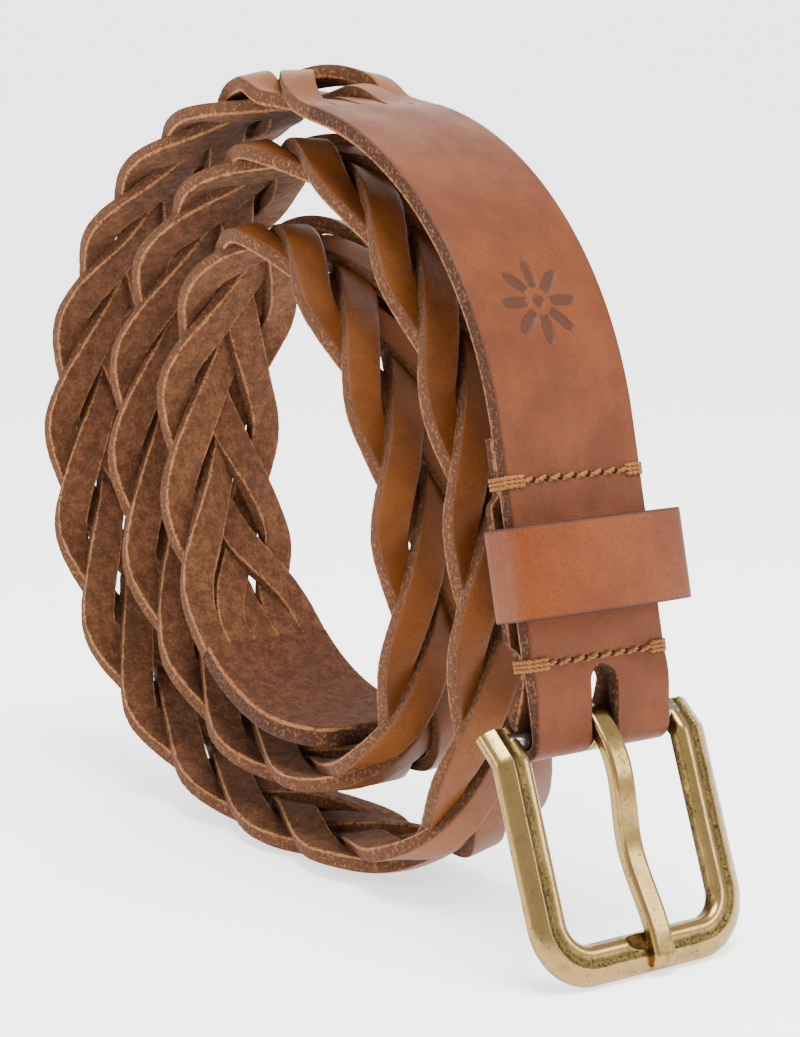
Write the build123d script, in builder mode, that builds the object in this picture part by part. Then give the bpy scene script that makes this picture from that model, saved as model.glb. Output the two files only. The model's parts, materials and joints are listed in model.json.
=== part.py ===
from build123d import *
import math
import os

# A man's braided leather belt, rolled up and standing on the curve of its outer turn, with the
# buckle hanging in front. X points from the middle of the roll to the buckle side, Y runs along
# the roll's axis, which is the belt's width, and Z is up. Everything is in millimetres.

# ---- belt leather
strap_width = 35.0          # width of the solid strap
strap_thickness = 3.5
fold_thickness = 2.2        # the strap's end is skived to this before it is folded round the bar
strand_count = 5            # the strap is slit lengthwise into this many strands
strand_width = 8.0
strand_thickness = 2.8
slit_gap = 0.25             # sliver of leather lost to each slit
braid_pitch = 140.0         # length in which a strand wanders to the other edge and back
braid_swing = 12.6          # how far a strand's middle swings to either side
braid_rise = 2.2            # how far a strand rises and dips to pass its neighbours
start_turn = 0.12           # where in its wandering the braid starts
braid_spread = 30.0         # length over which the slit strands open into the braid
section_step = 10.0         # spacing of the sections that shape a strand
tip_length = 46.0
tip_thickness = 4.6
tip_width = strap_width - 1.0
tip_point = 9.0             # half width left at the very end of the tip

# ---- buckle end of the strap, measured up the strap from the hinge bar
lean = 13.0                 # lean of the strap's straight end from upright, in degrees
bar_height = 48.5           # height of the strap's foot, level with the hinge bar
lower_row = 14.5            # lower row of stitches, below the keeper
upper_row = 51.3            # upper row of stitches, above the keeper
row_land = 2.0              # the plies lie together this far on each side of a row
ply_ramp = 2.5              # length in which the folded ply steps off to make the pocket
fold_tail = 9.5             # what is left of the folded end above the upper row
stitch_count = 8
stitch_margin = 3.1         # what a row of stitches leaves free at each edge of the strap
stitch_pitch = (strap_width - 2 * stitch_margin) / stitch_count
stitch_length = 3.0
thread_width = 0.9
thread_height = 0.45
tack_length = 4.0           # how far the edge tacks reach in from the strap's edge
tack_turns = 3
slot_width = 7.0            # slot that lets the prong through the fold
slot_reach = 12.5           # how far the slot runs up from the bar

# ---- keeper, the leather loop that holds the belt's free end
keeper_width = 18.8
keeper_thickness = 2.2
keeper_crown = 8.2          # room in front of the strap at the middle of the loop
keeper_shoulder = 4.8       # room in front of the strap at the loop's sides
keeper_side_room = 2.6      # room between the strap's edge and the loop's side
keeper_place = 32.9         # middle of the keeper above the hinge bar
ply_gap = 0.35              # room on each side of the keeper where it lies between the plies
staple_crown = 9.0
staple_wire = 0.8

# ---- buckle
frame_inside = strap_width + 3.4    # clear width between the arms
arm_width = 8.4
frame_thickness = 4.2
frame_reach = 50.6          # from the hinge bar to the front edge of the frame
frame_lean = 20.5           # lean of the hanging frame from upright, in degrees
frame_offset = 2.4          # the frame's middle stands this far in front of the hinge bar
corner_radius = 13.5
edge_chamfer = 1.3
ear_radius = 3.6            # rounded upper end of an arm, round the bar
bar_radius = 2.0
bar_seat = 3.2              # depth of the bar's ends in the arms
bar_room = 0.35             # room between the bar and the leather round it
prong_width = 5.4
prong_thickness = 3.0
prong_eye = 2.2             # metal round the bar in the prong's eye
prong_fit = 0.06            # running fit of the prong's eye on the bar
prong_room = 0.6            # room beside the prong in its notch
notch_depth = 1.3           # rest for the prong in the front of the frame

# ---- the roll: the middle of the belt's thickness, seen along Y
arc_centre = (11.0, 90.4)   # the strap's upper stretch is an arc about this point
arc_radius = 81.8
arc_end = 80.0              # the solid strap ends and the braid begins at this angle
roll = [
    (2, 174), (-32, 168.5), (-67, 148), (-97, 91), (-62, 24), (5, 4.6), (63, 20), (74, 74),
    (49, 138), (4, 161.5), (-48, 136), (-65, 88), (-45, 42), (5, 19.5), (44, 36), (49, 80), (26, 124),
    (-8, 142.5), (-36, 117), (-40, 80), (-26, 49), (-3, 34), (23, 31),
]

half_width = strap_width / 2
half_strap = strap_thickness / 2
slot_step = strap_width / strand_count


def on_arc(angle):
    """Point on the strap's arc at an angle above the level, in degrees."""
    level = arc_centre[0] + arc_radius * math.cos(math.radians(angle))
    height = arc_centre[1] + arc_radius * math.sin(math.radians(angle))
    return (level, height)


def outward(angle):
    """Direction out of the roll, turned up from the level by an angle in degrees."""
    return Vector(math.cos(math.radians(angle)), 0, math.sin(math.radians(angle)))


# The strap's straight end leaves the arc on a tangent and runs down to the hinge bar.
arc_start = on_arc(lean)
straight_length = (arc_start[1] - bar_height) / math.cos(math.radians(lean))
foot_level = arc_start[0] + straight_length * math.sin(math.radians(lean))

# Side view of the buckle end: x is out of the strap, y is up along it from the hinge bar.
side = Plane(origin=(foot_level, 0, bar_height), x_dir=outward(lean), z_dir=(0, -1, 0))
loop_inside = bar_radius + bar_room
bar_offset = -half_strap - loop_inside
bar_place = side.from_local_coords((bar_offset, 0, 0))

# Buckle frame: in the front view x is along Y, y is up the frame and z is out of its front.
frame_front = Plane(origin=bar_place, x_dir=(0, 1, 0), z_dir=outward(frame_lean))
frame_side = Plane(origin=bar_place, x_dir=outward(frame_lean), z_dir=(0, -1, 0))


def across_strap(height):
    """Plane across the strap's straight end: x is along Y and y is out of the strap."""
    return Plane(origin=side.from_local_coords((0, height, 0)), x_dir=(0, 1, 0), z_dir=-side.y_dir)


def front_of_strap(out):
    """Plane along the strap's straight end: x is along Y and y is up the strap."""
    return Plane(origin=side.from_local_coords((out, 0, 0)), x_dir=(0, 1, 0), z_dir=side.x_dir)


# ---- path of the braid, from the end of the solid strap to the inner end of the belt
with BuildLine(Plane.XZ) as roll_line:
    arc_way = (-math.sin(math.radians(arc_end)), math.cos(math.radians(arc_end)))
    braid_path = Spline(on_arc(arc_end), *roll, tangents=[arc_way, (1, 0.03)],
                        tangent_scalars=[1, 1])
braid_length = braid_path.length - tip_length


def ease(value):
    """Smooth step from 0 to 1."""
    value = min(max(value, 0.0), 1.0)
    return value * value * (3 - 2 * value)


def swing(turn):
    """Side position of a strand from -1 to 1, nearly straight between the belt's edges."""
    straightness = 0.95
    return math.asin(straightness * math.cos(2 * math.pi * turn)) / math.asin(straightness)


def side_slot(number, turn):
    """Place of a strand among its neighbours where they lie side by side."""
    order = sorted(range(strand_count), key=lambda other: swing(turn + other / strand_count))
    return order.index(number) - (strand_count - 1) / 2


def spread_at(run):
    """1 in the open braid, falling to 0 at both of its ends."""
    return ease(run / braid_spread) * ease((braid_length - run) / braid_spread)


def side_position(number, run):
    """Distance of a strand's middle from the middle of the belt."""
    turn = start_turn + run / braid_pitch
    end_turn = start_turn if run < braid_length / 2 else start_turn + braid_length / braid_pitch
    flat = side_slot(number, end_turn) * slot_step
    spread = spread_at(run)
    return spread * braid_swing * swing(turn + number / strand_count) + (1 - spread) * flat


def belt_section(run, across, heading, rise, tilt):
    """Plane square to a strand that heads across the belt, or to the belt itself."""
    place = braid_path.position_at(run, position_mode=PositionMode.LENGTH)
    along = braid_path.tangent_at(run, position_mode=PositionMode.LENGTH)
    width = Vector(0, 1, 0)
    out = width.cross(along)
    flat = width * math.cos(heading) - along * math.sin(heading)
    return Plane(
        origin=place + width * across + out * rise,
        x_dir=flat * math.cos(tilt) + out * math.sin(tilt),
        z_dir=along * math.cos(heading) + width * math.sin(heading),
    )


def strand_section(number, run):
    """Plane square to a strand, which rises over two neighbours and dips under the next two."""
    nudge = 0.5
    turn = start_turn + run / braid_pitch + number / strand_count
    ends = side_position(number, run - nudge), side_position(number, run + nudge)
    heading = math.atan2(ends[1] - ends[0], 2 * nudge)
    spread = spread_at(run)
    rise = spread * braid_rise * math.sin(4 * math.pi * turn)
    tilt = -spread * (0.07 * math.sin(2 * math.pi * turn) + 0.14 * math.sin(6 * math.pi * turn))
    return belt_section(run, side_position(number, run), heading, rise, tilt)


os.makedirs("parts", exist_ok=True)
pieces = {}

# ---- strap: slit end, solid upper stretch, straight end, fold round the bar and inner ply
ply_face = -half_strap
pocket_face = ply_face - keeper_thickness - 2 * ply_gap
ply_line = [
    (bar_offset - loop_inside, 0),
    (ply_face, lower_row - row_land),
    (ply_face, lower_row + row_land),
    (pocket_face, lower_row + row_land + ply_ramp),
    (pocket_face, upper_row - row_land - ply_ramp),
    (ply_face, upper_row - row_land),
    (ply_face, upper_row + fold_tail),
]
ply_back = [(out - fold_thickness, up) for out, up in reversed(ply_line)]
with BuildPart() as strap:
    with BuildSketch(Plane.XZ):
        with BuildLine():
            upper = CenterArc(arc_centre, arc_radius, lean, arc_end - lean)
            Line(upper @ 0, (foot_level - slot_reach * math.sin(math.radians(lean)),
                             bar_height + slot_reach * math.cos(math.radians(lean))))
        trace(line_width=strap_thickness)
    extrude(amount=half_width, both=True)
    with BuildSketch(side):
        with BuildLine():
            Polyline((half_strap, slot_reach), (ply_face, slot_reach), (ply_face, 0),
                     (ply_face + fold_thickness, 0), close=True)
        make_face()
        with BuildLine():
            Polyline(*ply_line, *ply_back, close=True)
        make_face()
    extrude(amount=half_width, both=True)
    with BuildSketch(side):
        with Locations((bar_offset, 0)):
            Circle(loop_inside + fold_thickness)
            Circle(loop_inside, mode=Mode.SUBTRACT)
            Rectangle(4 * loop_inside, 4 * loop_inside, align=(Align.CENTER, Align.MAX),
                      mode=Mode.INTERSECT)
    extrude(amount=half_width, both=True)
    with BuildSketch(front_of_strap(0)):
        with Locations((0, slot_reach - slot_width / 2)):
            Circle(slot_width / 2)
        with Locations((0, slot_reach / 2 - slot_width)):
            Rectangle(slot_width, slot_reach + slot_width)
    extrude(amount=4 * loop_inside + half_strap, both=True, mode=Mode.SUBTRACT)
pieces["strap"] = strap

# ---- braid: strands cut from the strap itself, each woven over two and under two
stops = math.ceil(braid_length / section_step)
for number in range(strand_count):
    with BuildPart() as strand:
        for stop in range(stops + 1):
            run = braid_length * stop / stops
            spread = spread_at(run)
            width = spread * strand_width + (1 - spread) * (slot_step - slit_gap)
            with BuildSketch(strand_section(number, run)):
                Rectangle(width, strand_thickness)
        loft(ruled=True)
    pieces[f"strand_{number + 1}"] = strand

# ---- tip: a plain leather end, curved with the roll and narrowed to a blunt point
tip_stops = 8
with BuildPart() as tip:
    for stop in range(tip_stops + 1):
        share = stop / tip_stops
        run = braid_length + tip_length * share
        narrowing = math.sqrt(max(1 - max(share - 0.5, 0) ** 2 * 4, 0))
        width = 2 * tip_point + (tip_width - 2 * tip_point) * narrowing
        with BuildSketch(belt_section(run, 0, 0, 0, 0)):
            Rectangle(width, tip_thickness)
    loft(ruled=True)
pieces["tip"] = tip

# ---- rows of stitches through both plies, each ended by tacks wrapped round the strap's edges
ply_outer = ply_face - fold_thickness
for name, row in (("lower_stitching", lower_row), ("upper_stitching", upper_row)):
    with BuildPart() as stitching:
        for face, way in ((half_strap, 1), (ply_outer, -1)):
            with BuildSketch(front_of_strap(face)):
                with Locations((0, row)):
                    with GridLocations(stitch_pitch, 0, stitch_count, 1):
                        SlotOverall(stitch_length, thread_width)
            extrude(amount=way * thread_height)
        for turn in range(tack_turns):
            height = row + (turn - (tack_turns - 1) / 2) * thread_width * 1.1
            with BuildSketch(across_strap(height)):
                with Locations((0, (half_strap + ply_outer) / 2)):
                    Rectangle(strap_width + 2 * thread_height,
                              half_strap - ply_outer + 2 * thread_height)
                    Rectangle(strap_width, half_strap - ply_outer, mode=Mode.SUBTRACT)
                    Rectangle(strap_width - 2 * tack_length, 4 * strap_thickness,
                              mode=Mode.SUBTRACT)
            extrude(amount=thread_width / 2, both=True)
    pieces[name] = stitching

# ---- keeper: a strip of leather closed into a loop by a wire staple between the two plies
keeper_plane = across_strap(keeper_place)
loop_half = half_width + keeper_side_room
loop_back = ply_face - ply_gap
with BuildPart() as staple:
    with BuildSketch(keeper_plane.offset(-staple_wire / 2)):
        with Locations((0, loop_back - keeper_thickness / 2)):
            Rectangle(staple_crown, keeper_thickness)
            Rectangle(staple_crown - 2 * staple_wire, keeper_thickness - 2 * staple_wire,
                      mode=Mode.SUBTRACT)
    extrude(amount=staple_wire)
with BuildPart() as keeper:
    with BuildSketch(keeper_plane) as keeper_loop:
        with BuildLine():
            front = ThreePointArc((-loop_half, half_strap + keeper_shoulder),
                                  (0, half_strap + keeper_crown),
                                  (loop_half, half_strap + keeper_shoulder))
            Polyline(front @ 1, (loop_half, loop_back), (-loop_half, loop_back), front @ 0)
        make_face()
        offset(amount=keeper_thickness)
        with BuildLine():
            Line(front @ 0, front @ 1)
            inner = ThreePointArc(front @ 0, (0, half_strap + keeper_crown), front @ 1)
        make_face(mode=Mode.SUBTRACT)
        with Locations((0, (loop_back + half_strap + keeper_shoulder) / 2)):
            Rectangle(2 * loop_half, half_strap + keeper_shoulder - loop_back, mode=Mode.SUBTRACT)
    extrude(amount=keeper_width / 2, both=True)
    add(staple.part, mode=Mode.SUBTRACT)
pieces["keeper"] = keeper
pieces["keeper_staple"] = staple

# ---- buckle frame: an open U with rounded corners whose arms end in ears round the hinge bar
arm_middle = (frame_inside + arm_width) / 2
frame_width = frame_inside + 2 * arm_width
frame_front_face = frame_offset + frame_thickness / 2
with BuildPart() as buckle_frame:
    with BuildSketch(frame_front.offset(frame_offset)):
        with Locations((0, -frame_reach)):
            RectangleRounded(frame_width, 2 * frame_reach, corner_radius,
                             align=(Align.CENTER, Align.MIN))
        with Locations((0, arm_width - frame_reach)):
            RectangleRounded(frame_inside, 3 * frame_reach, corner_radius - arm_width,
                             align=(Align.CENTER, Align.MIN), mode=Mode.SUBTRACT)
        with Locations((0, ear_radius)):
            Rectangle(2 * frame_width, 2 * frame_reach, align=(Align.CENTER, Align.MIN),
                      mode=Mode.SUBTRACT)
    extrude(amount=frame_thickness / 2, both=True)
    front_edges = buckle_frame.faces().sort_by(Axis(bar_place, frame_front.z_dir))[-1].edges()
    chamfer(front_edges, edge_chamfer)
    with BuildSketch(frame_side):
        Circle(ear_radius)
        with Locations((frame_offset / 2, 0)):
            Rectangle(frame_offset, 2 * ear_radius)
    extrude(amount=frame_width / 2, both=True)
    with BuildSketch(frame_side):
        Circle(2 * ear_radius)
        Rectangle(4 * frame_front_face, 2 * ear_radius + 1)
    extrude(amount=frame_inside / 2, both=True, mode=Mode.SUBTRACT)
    with BuildSketch(frame_side):
        Circle(bar_radius)
    extrude(amount=frame_inside / 2 + bar_seat, both=True, mode=Mode.SUBTRACT)
    with BuildSketch(frame_front.offset(frame_front_face)):
        with Locations((0, arm_width / 2 - frame_reach)):
            Rectangle(prong_width + 2 * prong_room, 2 * arm_width)
    extrude(amount=-notch_depth, mode=Mode.SUBTRACT)
pieces["buckle_frame"] = buckle_frame

# ---- hinge bar: a steel pin seated in the ears, through the fold and the prong's eye
with BuildPart() as hinge_bar:
    with BuildSketch(frame_side):
        Circle(bar_radius)
    extrude(amount=frame_inside / 2 + bar_seat, both=True)
pieces["hinge_bar"] = hinge_bar

# ---- prong: a flat bar with an eye round the hinge bar, bowed so that its end lies in the notch
eye_inside = bar_radius + prong_fit
prong_rest = frame_front_face - notch_depth + prong_thickness / 2 + prong_fit
with BuildPart() as prong:
    with BuildSketch(frame_side):
        with BuildLine():
            Spline((eye_inside + prong_eye / 2, 1.5), (prong_rest + 1.2, -8),
                   (prong_rest - 1.6, -0.5 * frame_reach), (prong_rest, arm_width - frame_reach),
                   (prong_rest, 0.6 - frame_reach))
        trace(line_width=prong_thickness)
        Circle(eye_inside + prong_eye)
        Circle(eye_inside, mode=Mode.SUBTRACT)
    extrude(amount=prong_width / 2, both=True)
pieces["prong"] = prong

# ---- the origin is in the middle of the roll's footprint, on the ground it stands on
boxes = [piece.part.bounding_box() for piece in pieces.values()]
middle = (min(box.min.X for box in boxes) + max(box.max.X for box in boxes)) / 2
to_origin = Vector(-middle, 0, -min(box.min.Z for box in boxes))
for name, piece in pieces.items():
    piece.part.label = name
    piece.part.move(Location(to_origin))
    export_step(piece.part, f"parts/{name}.step")

bar_axis = bar_place + to_origin
print("hinge bar at", round(bar_axis.X, 3), round(bar_axis.Y, 3), round(bar_axis.Z, 3))
print("keeper slides along", round(side.y_dir.X, 4), round(side.y_dir.Z, 4))
print("braid", round(braid_length), "mm, belt beyond the bar",
      round(braid_path.length + straight_length + arc_radius * math.radians(arc_end - lean)), "mm")
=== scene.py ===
import json
import math

import bmesh
import bpy
import numpy as np
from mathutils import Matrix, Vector


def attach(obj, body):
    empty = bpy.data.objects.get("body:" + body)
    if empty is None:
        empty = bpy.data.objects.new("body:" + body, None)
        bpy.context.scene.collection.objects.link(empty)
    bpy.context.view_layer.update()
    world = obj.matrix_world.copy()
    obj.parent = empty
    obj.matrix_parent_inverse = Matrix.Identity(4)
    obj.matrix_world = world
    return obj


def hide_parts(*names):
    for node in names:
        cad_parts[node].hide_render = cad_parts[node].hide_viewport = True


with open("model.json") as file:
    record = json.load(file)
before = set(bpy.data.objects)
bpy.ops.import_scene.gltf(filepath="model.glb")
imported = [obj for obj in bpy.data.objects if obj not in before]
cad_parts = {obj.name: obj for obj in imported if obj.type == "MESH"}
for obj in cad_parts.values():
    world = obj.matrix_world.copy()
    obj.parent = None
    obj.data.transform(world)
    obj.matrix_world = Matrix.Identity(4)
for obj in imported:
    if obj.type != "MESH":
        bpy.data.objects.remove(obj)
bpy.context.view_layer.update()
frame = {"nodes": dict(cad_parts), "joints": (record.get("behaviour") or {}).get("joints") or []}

MM = 0.001

# ---- Studio ------------------------------------------------------------------------------------
# A pale seamless sweep of paper, a big soft light overhead, a softer one from the left, a rim light.
# The belt stands on the table and the camera looks past the buckle into the roll.
table_half = 3.0
table_near = -2.0
sweep_start = 1.3
sweep_radius = 0.9
sweep_top = 2.6
glow = 1.3
table_material = bpy.data.materials.new("studio_table")
table_material.use_nodes = True
table_shader = table_material.node_tree.nodes["Principled BSDF"]
table_shader.inputs["Base Color"].default_value = (0.95, 0.95, 0.95, 1)
table_shader.inputs["Roughness"].default_value = 0.8
table_shader.inputs["Emission Color"].default_value = (1, 1, 1, 1)
table_shader.inputs["Emission Strength"].default_value = glow
away = Vector((-0.808, 0.589, 0))
across_view = Vector((0.589, 0.808, 0))
profile = [(table_near, 0.0), (sweep_start, 0.0)]
profile += [(sweep_start + sweep_radius * math.sin(math.radians(a)),
             sweep_radius * (1 - math.cos(math.radians(a)))) for a in range(5, 91, 5)]
profile += [(sweep_start + sweep_radius, sweep_top)]
table_points = [away * run + across_view * side + Vector((0, 0, height))
                for run, height in profile for side in (-table_half, table_half)]
table_mesh = bpy.data.meshes.new("studio_table")
table_mesh.from_pydata(table_points, [], [(2 * k, 2 * k + 1, 2 * k + 3, 2 * k + 2)
                                          for k in range(len(profile) - 1)])
table_mesh.shade_smooth()
table_mesh.materials.append(table_material)
studio_table = bpy.data.objects.new("studio_table", table_mesh)
bpy.context.collection.objects.link(studio_table)

world = bpy.data.worlds.new("studio")
bpy.context.scene.world = world
world.use_nodes = True
world.node_tree.nodes["Background"].inputs["Color"].default_value = (1.0, 1.0, 1.0, 1)
world.node_tree.nodes["Background"].inputs["Strength"].default_value = glow
roll_middle = Vector((0, 0, 0.09))


def soft_light(name, place, size, power):
    """One square soft box that points at the middle of the roll."""
    light = bpy.data.lights.new(name, "AREA")
    light.size = size
    light.energy = power
    lamp = bpy.data.objects.new(name, light)
    lamp.location = place
    aim = roll_middle - Vector(place)
    lamp.rotation_mode = "QUATERNION"
    lamp.rotation_quaternion = aim.to_track_quat("-Z", "Y")
    bpy.context.collection.objects.link(lamp)


soft_light("overhead", (0.35, -0.1, 1.1), 0.6, 26.0)
soft_light("left_fill", (-0.1, -1.2, 0.5), 0.6, 9.0)
soft_light("right_rim", (0.9, 0.6, 0.5), 0.5, 8.0)

camera = bpy.data.objects.new("camera", bpy.data.cameras.new("camera"))
look_down = 9.36
look_round = 53.91
camera.data.lens = 92.19
camera.data.sensor_width = 36.0
camera.data.clip_start = 0.01
camera.location = (0.4930, -0.3426, 0.1775)
camera.rotation_euler = (math.radians(90 - look_down), 0, math.radians(look_round))
bpy.context.collection.objects.link(camera)
bpy.context.scene.camera = camera

# ---- Strap -------------------------------------------------------------------------------------
# Solid vegetable-tanned strap, 35 mm wide. It runs from the slits at the top of the roll down to
# the buckle, folds round the hinge bar and comes back up as a skived ply with a keeper pocket.
strap_width = 35.0 * MM
strap_thickness = 3.5 * MM
fold_thickness = 2.3 * MM
ply_thickness = 2.2 * MM
corner_round = 0.4 * MM
lean = math.radians(13.0)
bar_height = 48.5 * MM
arc_centre = np.array((11.0, 90.4)) * MM
arc_radius = 81.8 * MM
arc_end = math.radians(80.0)
bar_loop = 2.35 * MM
slot_reach = 12.5 * MM
slot_width = 7.0 * MM
row_heights = {"lower": 14.5 * MM, "upper": 51.3 * MM}
pocket_start = 16.5 * MM
pocket_end = 49.3 * MM
pocket_depth = 2.9 * MM
pocket_ramp = 2.5 * MM
stitch_pull = 0.22 * MM
stitch_pull_reach = 1.1 * MM
fold_bulge = 0.55 * MM
skive_length = 11.0 * MM
ply_closes = 12.5 * MM
ply_end = 60.8 * MM
stamp_angle = math.radians(31.0)
stamp_size = 9.5 * MM
stamp_depth = 0.45 * MM
fine_step, coarse_step = 0.25 * MM, 1.6 * MM
front_step, back_step = 0.5 * MM, 0.6 * MM

# The strap's foot stands in front of the hinge bar, so the bar's place in the frame gives the
# place of the roll's own drawing, whose heights are measured from the ground.
hinge = Vector(next(j for j in frame["joints"] if j["name"] == "frame_hinge")["pos_m"])
width_way = Vector((0, 1, 0))
out_way = Vector((math.cos(lean), 0, math.sin(lean)))
up_way = Vector((-math.sin(lean), 0, math.cos(lean)))
strap_foot = hinge + out_way * (strap_thickness / 2 + bar_loop)
arc_start = arc_centre + arc_radius * np.array((math.cos(lean), math.sin(lean)))
straight_length = (arc_start[1] - bar_height) / math.cos(lean)
drawn_foot = arc_start + straight_length * np.array((math.sin(lean), -math.cos(lean)))
drawing_shift = np.array((strap_foot.x, strap_foot.z)) - drawn_foot
roll_centre = Vector((arc_centre[0] + drawing_shift[0], 0, arc_centre[1] + drawing_shift[1]))


def ease(value):
    """Smooth step from 0 to 1."""
    value = min(max(value, 0.0), 1.0)
    return value * value * (3 - 2 * value)


def on_strap(out, up, across=0.0):
    """Point by the strap's straight end: out of its face, up from the bar and across it."""
    return strap_foot + out_way * out + up_way * up + width_way * across


def section(half_width, thickness, columns, rounding):
    """Round-cornered cross-section of a strip, as places across it and up through it."""
    half = thickness / 2
    small = min(rounding, half * 0.8)
    corner = [small * (1 - math.cos(math.radians(a))) for a in (0, 30, 60, 90)]
    rise = [small * (1 - math.sin(math.radians(a))) for a in (0, 30, 60, 90)]
    across = [share * (half_width - small) for share in columns]
    ring = [(y, half) for y in across]
    ring += [(half_width - corner[k], half - rise[k]) for k in (2, 1, 0)]
    ring += [(half_width, 0.0)]
    ring += [(half_width - corner[k], rise[k] - half) for k in (0, 1, 2)]
    ring += [(y, -half) for y in reversed(across)]
    ring += [(corner[k] - half_width, rise[k] - half) for k in (2, 1, 0)]
    ring += [(-half_width, 0.0)]
    ring += [(corner[k] - half_width, half - rise[k]) for k in (0, 1, 2)]
    return ring


def strip(name, stations, columns, closed=False, dent=None, rounding=corner_round):
    """Sweeps a strip through stations of (face point, back point, width direction, half width).

    Its marks say where on the hide a point is: hide_side is 1 on the grain face, -1 on the
    flesh side and between them on a cut edge, and hide_rim grows to 1 in the last 4 mm."""
    rim_reach = 4.0 * MM
    points, side, rim, pressed = [], [], [], []
    for station, (face, back, way, half_width) in enumerate(stations):
        middle, through = (face + back) / 2, face - back
        thickness = through.length
        through = through.normalized()
        for y, d in section(half_width, thickness, columns, rounding):
            push = dent(station, y) if dent and d > 0.49 * thickness else 0.0
            points.append(middle + way * y + through * (d - push))
            side.append(2 * d / thickness)
            rim.append(max(1 - (half_width - abs(y)) / rim_reach, 0.0))
            pressed.append(min(push / stamp_depth, 1.0))
    count = len(points) // len(stations)
    faces = []
    for k in range(len(stations) - (0 if closed else 1)):
        low, high = k * count, (k + 1) % len(stations) * count
        for j in range(count):
            following = (j + 1) % count
            faces.append((low + j, low + following, high + following, high + j))
    if not closed:
        faces.append(tuple(reversed(range(count))))
        faces.append(tuple(range(len(points) - count, len(points))))
    mesh = bpy.data.meshes.new(name)
    mesh.from_pydata(points, [], faces)
    for mark, values in (("hide_side", side), ("hide_rim", rim), ("hide_pressed", pressed)):
        mesh.attributes.new(mark, "FLOAT", "POINT").data.foreach_set("value", values)
    return face_out(name, mesh)


def face_out(name, mesh):
    """Turns a mesh's faces outward, smooths it and puts it in the scene as an object."""
    work = bmesh.new()
    work.from_mesh(mesh)
    bmesh.ops.recalc_face_normals(work, faces=work.faces)
    work.to_mesh(mesh)
    work.free()
    mesh.shade_smooth()
    made = bpy.data.objects.new(name, mesh)
    bpy.context.collection.objects.link(made)
    return made


def put(tree, kind, inputs=(), **settings):
    """Adds a node, and links or sets its inputs, given in order or by name."""
    made = tree.nodes.new(kind)
    for name, value in settings.items():
        setattr(made, name, value)
    for key, value in (inputs.items() if isinstance(inputs, dict) else enumerate(inputs)):
        if isinstance(value, bpy.types.NodeSocket):
            tree.links.new(value, made.inputs[key])
        elif value is not None:
            made.inputs[key].default_value = value
    return made


def number(tree, operation, *values):
    """A Math node's result."""
    return put(tree, "ShaderNodeMath", values, operation=operation).outputs[0]


def step_up(tree, value, low, high, bottom=0.0, top=1.0):
    """Smooth step of a value between two levels, from bottom to top."""
    return put(tree, "ShaderNodeMapRange", {0: value, 1: low, 2: high, 3: bottom, 4: top},
               interpolation_type="SMOOTHSTEP").outputs[0]


def mix(tree, share, first, second):
    """Mixes two colours."""
    return put(tree, "ShaderNodeMix", {0: share, 6: first, 7: second},
               data_type="RGBA").outputs[2]


def noise(tree, place, scale, detail=2.0, roughness=0.5):
    """Noise around 0.5 at a scale per metre."""
    return put(tree, "ShaderNodeTexNoise", {"Vector": place, "Scale": scale, "Detail": detail,
                                            "Roughness": roughness}).outputs[0]


def shader_group(name, colours, numbers, results):
    """A shader node group with named colours and numbers in, and named results out."""
    tree = bpy.data.node_groups.new(name, "ShaderNodeTree")
    for label in colours:
        tree.interface.new_socket(label, in_out="INPUT", socket_type="NodeSocketColor")
    for label in numbers:
        tree.interface.new_socket(label, in_out="INPUT", socket_type="NodeSocketFloat")
    for label, kind in results:
        tree.interface.new_socket(label, in_out="OUTPUT", socket_type=kind)
    return tree, tree.nodes.new("NodeGroupInput").outputs


surface_results = (("Color", "NodeSocketColor"), ("Roughness", "NodeSocketFloat"),
                   ("Normal", "NodeSocketVector"))


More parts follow.
